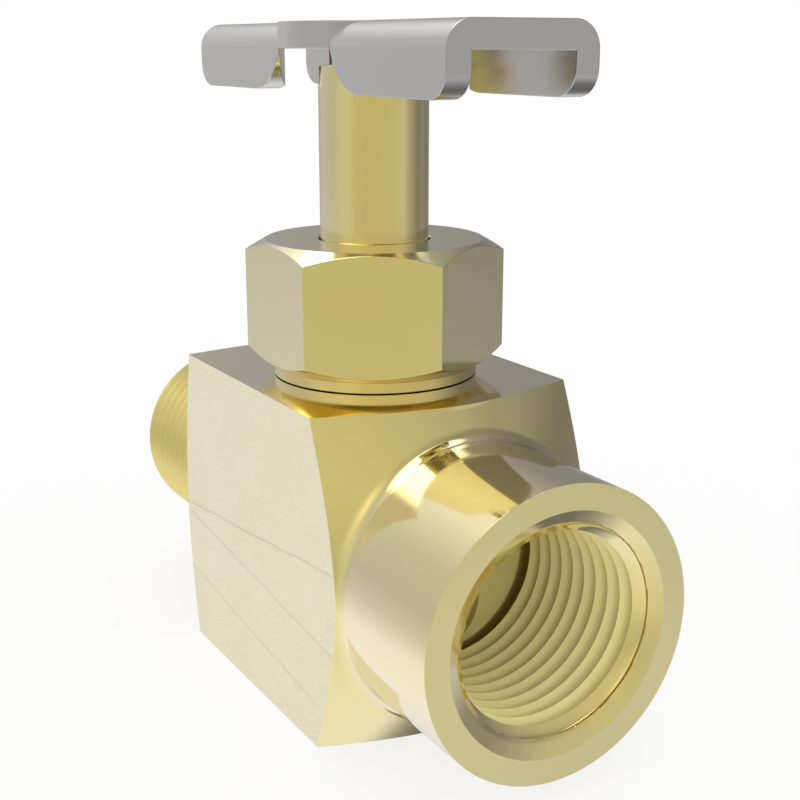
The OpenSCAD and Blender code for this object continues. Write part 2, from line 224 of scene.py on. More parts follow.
def mirrorCoat(tree, colour, gloss, roughness, normal):
    # metal under a thin clear film: the film's own gloss grows as the surface turns away
    surface = {"Roughness": roughness, "Normal": normal}
    metal = addNode(tree, "BsdfPrincipled", {"Metallic": 1.0}, {"Base Color": colour, **surface})
    film = addNode(tree, "BsdfAnisotropic", {"Color": linearColour(gloss)}, surface)
    turnedAway = addNode(tree, "LayerWeight", {"Blend": 0.5}, {"Normal": normal})
    mixed = addNode(
        tree, "MixShader", {},
        {0: turnedAway.outputs["Facing"], 1: metal.outputs[0], 2: film.outputs[0]},
    )
    addNode(tree, "OutputMaterial", {}, {"Surface": mixed.outputs[0]})


def turnedBrass(name, roundWhat, settings):
    # free-cutting brass straight off the lathe, then polished and lacquered: a clear mirror
    # with faint rings that follow the tool
    material, tree = newMaterial(name)
    place = addNode(tree, "TexCoord").outputs["Object"]
    centre = (0, 0, pipeHeight * mm) if roundWhat == "pipe" else (0, 0, 0)
    across = (0, 1, 1) if roundWhat == "pipe" else (1, 1, 0)
    offset = addNode(tree, "VectorMath", {"operation": "SUBTRACT", 1: centre}, {0: place})
    flat = addNode(tree, "VectorMath", {"operation": "MULTIPLY", 1: across}, {0: offset.outputs[0]})
    radius = addNode(tree, "VectorMath", {"operation": "LENGTH"}, {0: flat.outputs[0]})
    split = addNode(tree, "SeparateXYZ", {}, {0: place})
    along = split.outputs[0] if roundWhat == "pipe" else split.outputs[2]
    path = addNode(tree, "Math", {"operation": "ADD"}, {0: radius.outputs["Value"], 1: along})
    rings = addNode(
        tree, "Math", {"operation": "MULTIPLY", 1: 1 / (settings["feed"] * mm)},
        {0: path.outputs[0]},
    )
    toolMarks = addNode(
        tree, "TexNoise", {"noise_dimensions": "1D", "Scale": 1.0, "Detail": 3.0},
        {"W": rings.outputs[0]},
    )
    smears = addNode(
        tree, "TexNoise", {"Scale": 1 / (settings["smear"] * mm), "Detail": 4.0},
        {"Vector": place},
    )
    roughness = addNode(
        tree, "MapRange", {3: settings["smooth"], 4: settings["rough"]},
        {0: smears.outputs["Fac"]},
    )
    bump = addNode(
        tree, "Bump",
        {"Strength": settings["markStrength"], "Distance": settings["markDepth"] * mm},
        {"Height": toolMarks.outputs["Fac"]},
    )
    colour = addNode(
        tree, "Mix",
        {"data_type": "RGBA",
         6: linearColour(settings["dark"]), 7: linearColour(settings["light"])},
        {0: smears.outputs["Fac"]},
    )
    mirrorCoat(
        tree, colour.outputs[2], settings["gloss"], roughness.outputs[0], bump.outputs[0],
    )
    return material


def sandCastBrass(name, settings):
    # brass as it left the sand mould: a pale, even skin with fine grain and a few flow lines
    material, tree = newMaterial(name)
    place = addNode(tree, "TexCoord").outputs["Object"]
    stretched = addNode(tree, "Mapping", {"Scale": (settings["stretch"], 1, 1)}, {"Vector": place})
    grain = addNode(
        tree, "TexNoise", {"Scale": 1 / (settings["grain"] * mm), "Detail": 5.0},
        {"Vector": stretched.outputs[0]},
    )
    patches = addNode(
        tree, "TexNoise", {"Scale": 1 / (settings["patch"] * mm), "Detail": 2.0},
        {"Vector": place},
    )
    split = addNode(tree, "SeparateXYZ", {}, {0: place})
    lines = None
    for height, slope, start, end in settings["flowLines"]:
        # how far above or below the slanting line a point lies
        tilt = addNode(
            tree, "Math", {"operation": "MULTIPLY_ADD", 1: slope, 2: height * mm},
            {0: split.outputs[0]},
        )
        wander = addNode(
            tree, "Math", {"operation": "MULTIPLY_ADD", 1: settings["wander"] * mm},
            {0: patches.outputs["Fac"], 2: tilt.outputs[0]},
        )
        off = addNode(
            tree, "Math", {"operation": "SUBTRACT"},
            {0: split.outputs[2], 1: wander.outputs[0]},
        )
        distance = addNode(tree, "Math", {"operation": "ABSOLUTE"}, {0: off.outputs[0]})
        near = addNode(
            tree, "MapRange", {1: 0.0, 2: settings["lineWidth"] * mm, 3: 1.0, 4: 0.0},
            {0: distance.outputs[0]},
        )
        ends = addNode(
            tree, "MapRange",
            {1: start * mm, 2: end * mm, 3: 1.0, 4: 0.0, "interpolation_type": "SMOOTHSTEP"},
            {0: split.outputs[0]},
        )
        line = addNode(
            tree, "Math", {"operation": "MULTIPLY"}, {0: near.outputs[0], 1: ends.outputs[0]},
        )
        lines = line if lines is None else addNode(
            tree, "Math", {"operation": "MAXIMUM"}, {0: lines.outputs[0], 1: line.outputs[0]},
        )
    # the grain breaks the lines up
    broken = addNode(
        tree, "Math", {"operation": "MULTIPLY"}, {0: lines.outputs[0], 1: grain.outputs["Fac"]},
    )
    relief = addNode(
        tree, "Math", {"operation": "SUBTRACT"}, {0: grain.outputs["Fac"], 1: broken.outputs[0]},
    )
    bump = addNode(
        tree, "Bump",
        {"Strength": settings["grainStrength"], "Distance": settings["grainDepth"] * mm},
        {"Height": relief.outputs[0]},
    )
    skin = addNode(
        tree, "Mix",
        {"data_type": "RGBA",
         6: linearColour(settings["dark"]), 7: linearColour(settings["light"])},
        {0: patches.outputs["Fac"]},
    )
    soot = addNode(
        tree, "Math", {"operation": "MULTIPLY", 1: settings["soot"]}, {0: broken.outputs[0]},
    )
    colour = addNode(
        tree, "Mix", {"data_type": "RGBA", 7: linearColour(settings["line"])},
        {0: soot.outputs[0], 6: skin.outputs[2]},
    )
    roughness = addNode(
        tree, "MapRange", {3: settings["smooth"], 4: settings["rough"]},
        {0: patches.outputs["Fac"]},
    )
    skinned = addNode(
        tree, "BsdfPrincipled", {"Metallic": settings["bareMetal"]},
        {"Base Color": colour.outputs[2], "Roughness": roughness.outputs[0],
         "Normal": bump.outputs[0]},
    )
    addNode(tree, "OutputMaterial", {}, {"Surface": skinned.outputs[0]})
    return material


def threadCutBrass(name, settings):
    # brass torn a little by the thread cutter: satin, so that it keeps its colour in the bore
    material, tree = newMaterial(name)
    place = addNode(tree, "TexCoord").outputs["Object"]
    chatter = addNode(
        tree, "TexNoise", {"Scale": 1 / (settings["chatter"] * mm), "Detail": 2.0},
        {"Vector": place},
    )
    patches = addNode(
        tree, "TexNoise", {"Scale": 1 / (settings["patch"] * mm), "Detail": 2.0},
        {"Vector": place},
    )
    bump = addNode(
        tree, "Bump",
        {"Strength": settings["chatterStrength"], "Distance": settings["chatterDepth"] * mm},
        {"Height": chatter.outputs["Fac"]},
    )
    # painted shade in the thread's roots, where the grooves fall into shadow: the further from the
    # axis, the darker
    offset = addNode(
        tree, "VectorMath", {"operation": "SUBTRACT", 1: (0, 0, pipeHeight * mm)}, {0: place},
    )
    flat = addNode(
        tree, "VectorMath", {"operation": "MULTIPLY", 1: (0, 1, 1)}, {0: offset.outputs[0]},
    )
    fromAxis = addNode(tree, "VectorMath", {"operation": "LENGTH"}, {0: flat.outputs[0]})
    paintedRootShade = addNode(
        tree, "MapRange", {1: settings["crest"] * mm, 2: settings["rootLevel"] * mm},
        {0: fromAxis.outputs["Value"]},
    )
    clean = addNode(
        tree, "Mix",
        {"data_type": "RGBA",
         6: linearColour(settings["dark"]), 7: linearColour(settings["light"])},
        {0: patches.outputs["Fac"]},
    )
    colour = addNode(
        tree, "Mix", {"data_type": "RGBA", 7: linearColour(settings["paintedRootShade"])},
        {0: paintedRootShade.outputs[0], 6: clean.outputs[2]},
    )
    roughness = addNode(
        tree, "MapRange", {3: settings["smooth"], 4: settings["rough"]},
        {0: chatter.outputs["Fac"]},
    )
    cut = addNode(
        tree, "BsdfPrincipled", {"Metallic": settings["bareMetal"]},
        {"Base Color": colour.outputs[2], "Roughness": roughness.outputs[0],
         "Normal": bump.outputs[0]},
    )
    addNode(tree, "OutputMaterial", {}, {"Surface": cut.outputs[0]})
    return material


def zincPlatedSteel(name, settings):
    # pressed mild steel with a bright zinc plating: an even satin grey with a slight cloud
    material, tree = newMaterial(name)
    place = addNode(tree, "TexCoord").outputs["Object"]
    cloud = addNode(
        tree, "TexNoise", {"Scale": 1 / (settings["cloud"] * mm), "Detail": 3.0},
        {"Vector": place},
    )
    rolled = addNode(tree, "Mapping", {"Scale": (settings["rollStretch"], 1, 1)}, {"Vector": place})
    rolling = addNode(
        tree, "TexNoise", {"Scale": 1 / (settings["rollLine"] * mm), "Detail": 2.0},
        {"Vector": rolled.outputs[0]},
    )
    bump = addNode(
        tree, "Bump",
        {"Strength": settings["lineStrength"], "Distance": settings["lineDepth"] * mm},
        {"Height": rolling.outputs["Fac"]},
    )
    colour = addNode(
        tree, "Mix",
        {"data_type": "RGBA",
         6: linearColour(settings["dark"]), 7: linearColour(settings["light"])},
        {0: cloud.outputs["Fac"]},
    )
    roughness = addNode(
        tree, "MapRange", {3: settings["smooth"], 4: settings["rough"]},
        {0: cloud.outputs["Fac"]},
    )
    mirrorCoat(
        tree, colour.outputs[2], settings["gloss"], roughness.outputs[0], bump.outputs[0],
    )
    return material


def mouldedPtfe(name, settings):
    # PTFE moulded and skived: matt white with a waxy sheen and faint flow
    material, tree = newMaterial(name)
    place = addNode(tree, "TexCoord").outputs["Object"]
    flow = addNode(
        tree, "TexNoise", {"Scale": 1 / (settings["flow"] * mm), "Detail": 4.0},
        {"Vector": place},
    )
    bump = addNode(
        tree, "Bump",
        {"Strength": settings["flowStrength"], "Distance": settings["flowDepth"] * mm},
        {"Height": flow.outputs["Fac"]},
    )
    colour = addNode(
        tree, "Mix",
        {"data_type": "RGBA",
         6: linearColour(settings["dark"]), 7: linearColour(settings["light"])},
        {0: flow.outputs["Fac"]},
    )
    plastic = addNode(
        tree, "BsdfPrincipled", {"IOR": settings["ior"], "Roughness": settings["rough"]},
        {"Base Color": colour.outputs[2], "Normal": bump.outputs[0]},
    )
    addNode(tree, "OutputMaterial", {}, {"Surface": plastic.outputs[0]})
    return material


# lengths in these settings are in millimetres
polishedBrass = turnedBrass("turned_polished_brass", "pipe", dict(
    feed=0.22,  # the real feed of 0.08 mm is finer than a pixel, so it is drawn wider
    smear=9.0, smooth=0.06, rough=0.11, markStrength=0.2, markDepth=0.003,
    dark="#F1DE86", light="#F5E492", gloss=lacquerGloss,
))
maleThreadBrass = turnedBrass("oiled_thread_brass", "pipe", dict(
    feed=0.35, smear=5.0, smooth=0.14, rough=0.2, markStrength=0.35, markDepth=0.006,
    dark="#F1DE86", light="#F5E492", gloss="#F0E4AE",  # the cutting oil left a yellow film
))
threadedBrass = threadCutBrass("thread_cut_brass", dict(
    chatter=0.25,  # the cutter's chatter, drawn at two pixels
    patch=3.0, smooth=0.26, rough=0.36, chatterStrength=0.3, chatterDepth=0.01,
    bareMetal=0.05,  # the torn surface scatters nearly all of the light
    # the third colour is painted shade that darkens the thread's roots
    dark="#FFF4A6", light="#FFF8B4", paintedRootShade="#B89C4C",
    crest=7.75, rootLevel=8.5,  # radii between which the painted root shade grows
))
nutBrass = turnedBrass("milled_polished_brass", "stem", dict(
    feed=0.3, smear=7.0, smooth=0.10, rough=0.15, markStrength=0.12, markDepth=0.003,
    dark="#F1DE86", light="#F5E492", gloss=lacquerGloss,
))
rodBrass = turnedBrass("ground_brass_rod", "stem", dict(
    feed=0.16,  # grinding lines, drawn at two pixels each
    smear=5.0, smooth=0.13, rough=0.19, markStrength=0.3, markDepth=0.004,
    dark="#EFDB82", light="#F4E28E", gloss=lacquerGloss,
))
castBrass = sandCastBrass("sand_cast_brass", dict(
    grain=0.15, stretch=0.45,  # fine moulding sand, drawn out along the pipe
    patch=6.0, smooth=0.42, rough=0.5, grainStrength=1.0, grainDepth=0.17,
    wander=0.4, lineWidth=0.12, soot=0.28,
    # height where the line crosses under the stem, slope, and where along the pipe it fades
    flowLines=[(13.6, 0.1, 13, 16), (9.9, -0.105, 13, 16), (4.6, -0.11, 9, 14)],
    bareMetal=0.4,  # the rest is the dull skin that the sand leaves
    dark="#F5ECCC", light="#FAF2D6", line="#8F8255",
))
platedSteel = zincPlatedSteel("zinc_plated_pressed_steel", dict(
    cloud=4.0, rollLine=0.12, rollStretch=0.06, lineStrength=0.15, lineDepth=0.004,
    smooth=0.16, rough=0.24, dark="#B3B1AF", light="#B9B7B5", gloss="#F6F5F4",
))
hardSteel = zincPlatedSteel("ground_bearing_steel", dict(
    cloud=1.0, rollLine=0.05, rollStretch=0.06, lineStrength=0.1, lineDepth=0.002,
    smooth=0.08, rough=0.14, dark="#B4B5B7", light="#BCBDBF", gloss="#FDFDFD",
))
packing = mouldedPtfe("moulded_ptfe", dict(
    flow=1.5, flowStrength=0.2, flowDepth=0.02, ior=1.35, rough=0.45,
    dark="#E4E2DA", light="#EFEDE7",
))
print("materials made")


# lengths in millimetres, slopes in degrees, places along the pipe from the stem's axis
bodyShape = dict(
    # square bar, with a cone turned at each end
    frontConeX=14.5, frontSlope=30, hubRadius=11.1, filletRadius=1.65,
    rearConeX=-15.3, rearSlope=15, collarX=-17.0, maleRadius=8.575,
    neckRadius=13.3, neckPast=5, barReach=40, edgeBreak=0.025,
    # both pipe threads
    threadPitch=1.411, ringsPerPitch=28,
    # female port: thread, relief groove behind it and the two cones of its mouth
    crestRadius=7.4, threadHeight=0.78, threadStart=0.2, rootRounding=0.45, portSteps=320,
    portRadius=7.5, portDepth=15.6, reliefWidth=0.85, reliefRadius=9.0, reliefDepth=0.7,
    mouthRadius=9.15, mouthPerMm=1.86, innerMouthRadius=8.84, innerMouthPerMm=1.27,
    # male end: crest and root are shares of half a pitch
    maleThreadHeight=0.9, maleCrest=0.1, maleRoot=0.92, maleRunOut=0.4, maleChamfer=0.25,
    maleBoreRadius=4.5, maleBoreDepth=19, crossRadius=1.4, drillPointSlope=31,
    # the way through, from the slanting passage up to the recess for the packing
    passageRadius=3.5, passageSlant=20, passageDrop=3.5, passageSteps=128,
    orificeRadius=2.2, seatWidth=0.8, seatDrop=1.0, chamberRadius=5.5, chamberHeight=3.2,
    driveHoleRadius=4.85, recessRadius=8.05, recessDepth=4.3, recessChamfer=0.15,
)
endX, faceX = bodyLow[0], bodyHigh[0]  # end of the male thread and face of the hub
halfWidth, blockTop = bodyHigh[1], bodyHigh[2]
portFloor = faceX - bodyShape["portDepth"]
slant = math.radians(bodyShape["passageSlant"])
drillPoint = math.tan(math.radians(bodyShape["drillPointSlope"]))  # its depth over its radius


def threadPhase(along, angle, pitch, start=0):
    # 0 at the middle of a groove, 0.5 at the crest: a right-hand helix along the pipe
    return (along / pitch - angle / fullTurn - start) % 1


def ontoThread(along, angle, first, step, pitch, start=0):
    # moves a ring's point on by less than a step, to where the thread has a ring line
    crest = (angle / fullTurn + start + 0.5) * pitch
    return along + (crest - first) % step


def squareBar(s):
    # the bar with both cones, the hub with its fillet, and the round neck under the nut
    farRadius = 2 * halfWidth + pipeHeight
    frontTan = math.tan(math.radians(s["frontSlope"]))
    rearTan = math.tan(math.radians(s["rearSlope"]))
    tangent = s["filletRadius"] * math.tan(math.radians((90 - s["frontSlope"]) / 2))
    filletCentre = (s["frontConeX"] + tangent, s["hubRadius"] + s["filletRadius"])
    bar = turned("valve_body", [
        (s["collarX"], s["maleRadius"]),
        (s["rearConeX"], s["maleRadius"]),
        (s["rearConeX"] + (farRadius - s["maleRadius"]) * rearTan, farRadius),
        (s["frontConeX"] - (farRadius - s["hubRadius"]) * frontTan, farRadius),
        *arc(filletCentre, s["filletRadius"], 180 + s["frontSlope"], 270),
        (faceX, s["hubRadius"]),
    ], alongPipe=True)
    neck = [(-s["neckPast"], s["neckRadius"]), (blockTop + s["neckPast"], s["neckRadius"])]
    combine(bar, turned("neck", neck), "UNION")
    low, high = (-s["barReach"], -halfWidth, 0), (s["barReach"], halfWidth, blockTop)
    combine(bar, block("square bar", low, high), "INTERSECT")
    breakEdges(bar, s["edgeBreak"])
    return bar


def boreUpright(bar, s):
    # seat, chamber, hole for the driving thread and recess, one over the other
    seatTop = pipeHeight - s["seatDrop"]
    chamberTop = seatTop + s["chamberHeight"]
    recessFloor = blockTop - s["recessDepth"]
    recessMouth = s["recessRadius"] + s["recessChamfer"]
    passageEnd = pipeHeight - s["passageDrop"] - portFloor * math.tan(slant)
    combine(bar, turned("upright bore", [
        (passageEnd, s["orificeRadius"]),
        (seatTop - s["seatWidth"], s["orificeRadius"]),
        (seatTop, s["orificeRadius"] + s["seatWidth"]),
        (seatTop, s["chamberRadius"]), (chamberTop, s["chamberRadius"]),
        (chamberTop, s["driveHoleRadius"]), (recessFloor, s["driveHoleRadius"]),
        (recessFloor, s["recessRadius"]), (blockTop - s["recessChamfer"], s["recessRadius"]),
        (blockTop, recessMouth), (blockTop + past, recessMouth),
    ]), "DIFFERENCE")


def boreMaleEnd(bar, s):
    # wide from the male end, then a thinner hole into the chamber
    boreEnd = endX + s["maleBoreDepth"]
    combine(bar, turned("male bore", [
        (s["collarX"] - past, s["maleBoreRadius"]), (boreEnd, s["maleBoreRadius"]),
        (boreEnd + drillPoint * (s["maleBoreRadius"] - s["crossRadius"]), s["crossRadius"]),
        (-s["chamberRadius"] / 2, s["crossRadius"]),
    ], alongPipe=True), "DIFFERENCE")


def slantingPassage(s):
    # drilled from the port's floor down to the space under the seat
    length, radius = portFloor / math.cos(slant), s["passageRadius"]
    passage = turned("slanting passage", [
        (-radius, radius), (length, radius), (length + radius * drillPoint, 0),
    ], steps=s["passageSteps"])
    toFloor = Matrix.Translation((portFloor, 0, pipeHeight - s["passageDrop"]))
    passage.data.transform(toFloor @ Matrix.Rotation(-math.pi / 2 - slant, 4, "Y"))
    return passage


def cutPort(bar, s):
    # female thread: sharp crests between grooves with a rounded root
    grooveRadius = s["crestRadius"] + s["threadHeight"]
    threadX = portFloor + s["reliefWidth"]
    pitch, start, rounded = s["threadPitch"], s["threadStart"], s["rootRounding"]
    step = pitch / s["ringsPerPitch"]
    rings = int((faceX - slack - threadX) / step)

    def mouthCones(along):
        # the countersink's wide cone, then the narrower one where the thread begins
        inward = faceX - along
        outer = s["mouthRadius"] - s["mouthPerMm"] * inward
        inner = s["innerMouthRadius"] - s["innerMouthPerMm"] * inward
        return outer, inner

    def portThread(along, angle, radius):
        if radius != grooveRadius:
            return along, radius
        along = ontoThread(along, angle, threadX, step, pitch, start)
        fromRoot = 1 - abs(2 * threadPhase(along, angle, pitch, start) - 1)
        rise = (math.hypot(fromRoot, rounded) - rounded) / (math.hypot(1, rounded) - rounded)
        return along, max(grooveRadius - s["threadHeight"] * rise, *mouthCones(along))

    reliefX = portFloor - s["reliefDepth"]
    outline = [(portFloor, s["portRadius"]), (reliefX, s["portRadius"]),
               (reliefX, s["reliefRadius"]), (threadX - hair, s["reliefRadius"])]
    outline += [(threadX + step * i, grooveRadius) for i in range(rings)]
    outline += [(faceX, s["mouthRadius"]), (faceX + past, s["mouthRadius"])]
    port = turned("port", outline, alongPipe=True, steps=s["portSteps"], threadAt=portThread)
    combine(port, slantingPassage(s), "UNION")
    combine(bar, port, "DIFFERENCE")


def addMaleEnd(bar, s):
    # a shell that carries on from the bar's collar
    pitch, crest = s["threadPitch"], s["maleCrest"]
    step = pitch / s["ringsPerPitch"]
    rings = int((s["collarX"] - slack - endX) / step)

    def maleThread(along, angle, radius):
        if radius != s["maleRadius"] or along in (endX, s["collarX"]):
            # the end is chamfered, and the bore's mouth drawn in as far
            return along, radius - (s["maleChamfer"] if along == endX else 0)
        along = ontoThread(along, angle, endX, step, pitch)
        fromCrest = abs(2 * threadPhase(along, angle, pitch) - 1)
        cut = min(1, max(0, (fromCrest - crest) / (s["maleRoot"] - crest)))
        runOut = min(1, max(0, (s["collarX"] - s["maleRunOut"] - along) / pitch))
        cutThread = radius - s["maleThreadHeight"] * cut * runOut
        return along, min(cutThread, radius - s["maleChamfer"] + (along - endX))

    outline = [(s["collarX"], s["maleBoreRadius"]), (endX, s["maleBoreRadius"])]
    outline += [(endX + step * i, s["maleRadius"]) for i in range(rings)]
    outline.append((s["collarX"], s["maleRadius"]))
    shell = turned("male end", outline, alongPipe=True, threadAt=maleThread, closed=False)
    bm = bmesh.new()
    bm.from_mesh(bar.data)
    # the bar's own end face goes, since the shell starts there
    endFace = [
        face for face in bm.faces
        if abs(face.calc_center_median().x - s["collarX"]) < slack
        and face.normal.x < -straightOn
    ]
    bmesh.ops.delete(bm, geom=endFace, context="FACES_ONLY")
    bm.from_mesh(shell.data)
    bm.to_mesh(bar.data)
    bm.free()
    bpy.data.objects.remove(shell)


def dressBody(bar, s):
    # picks the finish of each face by where it lies, as a number in the body's list of them
    polished, cast, portCut, maleCut = range(4)
    pitch = s["threadPitch"]
    crestEnd = faceX - (s["innerMouthRadius"] - s["crestRadius"]) / s["innerMouthPerMm"]
    for face in bar.data.polygons:
        x, y, z = face.center / mm
        fromAxis = math.hypot(y, z - pipeHeight)
        onSide = abs(abs(y) - halfWidth) < slack and abs(face.normal.y) > straightOn
        onBase = abs(z) < slack and face.normal.z < -straightOn
        onMaleEnd = x < s["rearConeX"] + slack and fromAxis > s["maleBoreRadius"] + slack
        # the mouth is polished as far as the first whole crest
        crest = ontoThread(0, math.atan2(z - pipeHeight, y), 0, pitch, pitch, s["threadStart"])
        lastCrest = crestEnd - (crestEnd - crest) % pitch
        if onSide or onBase:
            face.material_index = cast
        elif onMaleEnd:
            face.material_index = maleCut if x < s["collarX"] else polished
        elif x < lastCrest and fromAxis < s["mouthRadius"]:
            face.material_index = portCut


def makeBody(s):
    bar = squareBar(s)
    boreUpright(bar, s)
    boreMaleEnd(bar, s)
    cutPort(bar, s)
    addMaleEnd(bar, s)
    finishes = [polishedBrass, castBrass, threadedBrass, maleThreadBrass]
    finishPiece(bar, "body", "housing", finishes)
    dressBody(bar, s)


makeBody(bodyShape)


nutShape = dict(
    hexBottom=26.36, washerRadius=8.37, washerTop=27.18, lowerSlope=30,
    upperBevel=0.3, upperSlope=30,
    holeRadius=4.525, holeChamfer=0.12, boreRadius=6.3, boreTop=32.02,
    shankRadius=7.95, shankHeight=0.55, shankPitch=1.0, shankLead=0.1,
    edgeBreak=0.06,
)


def threadRidges(start, end, pitch, root, crest):
    # plain ridges for a thread that no view shows; gives their outline and where they stop
    outline = []
    while start + pitch < end:
        for share, radius in ((0.1, root), (0.4, crest), (0.6, crest), (0.9, root)):
            outline.append((start + share * pitch, radius))
        start += pitch
    return outline, start


def makeNut(s):
    flat = nutHigh[1]  # half of the size across flats
    corner = flat / math.cos(math.radians(30))
    outside = corner + past
    top, bottom = nutHigh[2], s["hexBottom"]
    hexagon = arc((0, 0), corner, 0, 300, steps=5)  # six corners, 60 degrees apart
    nut = prism("hexagon_nut", hexagon, "z", bottom - past, top + past)
    lower, upper = s["washerRadius"], flat - s["upperBevel"]
    combine(nut, turned("bevels", [
        (bottom, lower), (s["washerTop"], lower),
        (s["washerTop"] + (outside - lower) * math.tan(math.radians(s["lowerSlope"])), outside),
        (top - (outside - upper) * math.tan(math.radians(s["upperSlope"])), outside),
        (top, upper),
    ]), "INTERSECT")
    breakEdges(nut, s["edgeBreak"])
    radius, lead = s["shankRadius"], s["shankLead"]
    root = radius - s["shankHeight"]
    ridges, ridgesEnd = threadRidges(nutLow[2] + lead, bottom, s["shankPitch"], root, radius)
    combine(nut, turned("threaded shank", [
        (nutLow[2], root), *ridges, (ridgesEnd + lead, radius), (bottom + past, radius),
    ]), "UNION")
    holeMouth = s["holeRadius"] + s["holeChamfer"]
    combine(nut, turned("nut bore", [
        (nutLow[2] - past, s["boreRadius"]), (s["boreTop"], s["boreRadius"]),
        (s["boreTop"], s["holeRadius"]), (top - s["holeChamfer"], s["holeRadius"]),
        (top, holeMouth), (top + past, holeMouth),
    ]), "DIFFERENCE")
    finishPiece(nut, "packing_nut", "housing", [nutBrass])


makeNut(nutShape)


stemShape = dict(
    radius=4.375, shoulder=50.85, neckRadius=3.6, plateBottom=52.05, gap=0.02,
    tenonRadius=3.1, tenonFlats=2.4,
    footRadius=3.2, footTop=14.0, threadRadius=4.75, threadTop=18.09,
    threadPitch=1.27, threadHeight=0.55,
    tipBoreRadius=2.0, tipBoreTop=19.04, screwHoleRadius=1.52, screwHoleFloor=45.05,
    holeSteps=64, edgeBreak=0.12,
)


def roundWithFlats(name, low, high, radius, flats):
    # a round tenon, or the hole for it, with a flat at each side
    tenon = turned(name, [(low, radius), (high, radius)])
    wide = radius + past
    between = block("flats", (-wide, -flats, low - past), (wide, flats, high + past))
    combine(tenon, between, "INTERSECT")
    return tenon


def makeStem(s):
    low, high = stemLow[2], stemHigh[2]
    crest = s["threadRadius"]
    root = crest - s["threadHeight"]
    ridges = threadRidges(s["footTop"], s["threadTop"], s["threadPitch"], root, crest)[0]
    stem = turned("stem_rod", [
        (low, s["footRadius"]), (s["footTop"], s["footRadius"]), (s["footTop"], root),
        *ridges,
        (s["threadTop"], root), (s["threadTop"] + s["radius"] - root, s["radius"]),
        (s["shoulder"] - s["edgeBreak"], s["radius"]),
        (s["shoulder"], s["radius"] - s["edgeBreak"]),
        (s["shoulder"], s["neckRadius"]), (s["plateBottom"] - s["gap"], s["neckRadius"]),
    ])
    tenon = roundWithFlats("tenon", s["shoulder"], high, s["tenonRadius"], s["tenonFlats"])
    combine(stem, tenon, "UNION")
    for name, start, end, radius in (
        ("tip bore", low - past, s["tipBoreTop"], s["tipBoreRadius"]),
        ("screw hole", s["screwHoleFloor"], high + past, s["screwHoleRadius"]),
    ):
        hole = turned(name, [(start, radius), (end, radius)], steps=s["holeSteps"])
        combine(stem, hole, "DIFFERENCE")
    finishPiece(stem, "stem", "spindle", [rodBrass])


makeStem(stemShape)


handleShape = dict(
    sheet=2.0, armWidth=12.3, discRadius=7.45,
    outerCorner=2.05, innerCorner=4.55, cornerSteps=24, sideBevel=3.2,
    tenonRadius=3.15, tenonFlats=2.45, tenonHeight=0.7,
    screwRadius=1.55, screwHeadRadius=2.85, screwHeadHeight=1.3,
    edgeBreak=0.1,
)


def makeHandle(s):
    sideY, endX, top, bottom = s["armWidth"] / 2, handleHigh[0], handleHigh[2], handleLow[2]
    plateBottom = top - s["sheet"]
    sideStart = math.sqrt(s["discRadius"] ** 2 - sideY ** 2)
    innerY, wide = sideY - s["sheet"], sideY + past
    inner, outer, steps = s["innerCorner"], s["outerCorner"], s["cornerSteps"]
    bevelEnd = sideStart + s["sideBevel"]
    section = [(sideY, bottom)] + arc((innerY, plateBottom), s["sheet"], 0, 90)
    section += [(-y, z) for y, z in reversed(section)]
    section += [(-innerY, bottom), (-innerY, plateBottom), (innerY, plateBottom), (innerY, bottom)]
    side = arc((sideStart + inner, bottom + inner), inner, 180, 270, steps)
    side += arc((endX - outer, bottom + outer), outer, 270, 360, steps)
    side += [(endX, top + past), (sideStart, top + past)]
    plan = [
        (0, -innerY), (bevelEnd, -innerY), (sideStart, -sideY), (sideStart, -wide),
        (endX + past, -wide), (endX + past, wide), (sideStart, wide), (sideStart, sideY),
        (bevelEnd, innerY), (0, innerY),
    ]
    handle = turned("bar_handle", [(plateBottom, s["discRadius"]), (top, s["discRadius"])])
    for way in (1, -1):
        arm = prism("arm", section, "x", -past, endX + past)
        combine(arm, prism("side view", side, "y", -wide, wide), "INTERSECT")
        combine(arm, prism("plan", plan, "z", bottom - past, top + past), "INTERSECT")
        if way < 0:
            arm.data.transform(Matrix.Scale(-1, 4, (1, 0, 0)))
            arm.data.flip_normals()
        combine(handle, arm, "UNION")
    joinFlatFaces(handle)
    breakEdges(handle, s["edgeBreak"])
    tenonTop = plateBottom + s["tenonHeight"]
    combine(handle, roundWithFlats(
        "tenon hole", plateBottom - past, tenonTop, s["tenonRadius"], s["tenonFlats"],
    ), "DIFFERENCE")
    combine(handle, turned("countersink", [
        (plateBottom - past, s["screwRadius"]), (top - s["screwHeadHeight"], s["screwRadius"]),
        (top, s["screwHeadRadius"]), (top + past, s["screwHeadRadius"]),
    ]), "DIFFERENCE")
    finishPiece(handle, "handle", "spindle", [platedSteel])


makeHandle(handleShape)


# pieces inside keep their CAD shape
carried = {
    "packing_washer": rodBrass, "gland_follower": rodBrass, "needle_tip": rodBrass,
    "packing_bottom_ring": packing, "packing_v_ring_lower": packing,
    "packing_v_ring_middle": packing, "packing_v_ring_upper": packing,
    "packing_top_ring": packing,
    "thrust_ball": hardSteel, "tip_pin": hardSteel, "handle_screw": platedSteel,
}
for name, material in carried.items():
    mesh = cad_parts[name].data
    if not mesh.materials:
        mesh.materials.append(material)
    for index in range(len(mesh.materials)):
        mesh.materials[index] = material
print("carried nodes dressed:", len(carried))


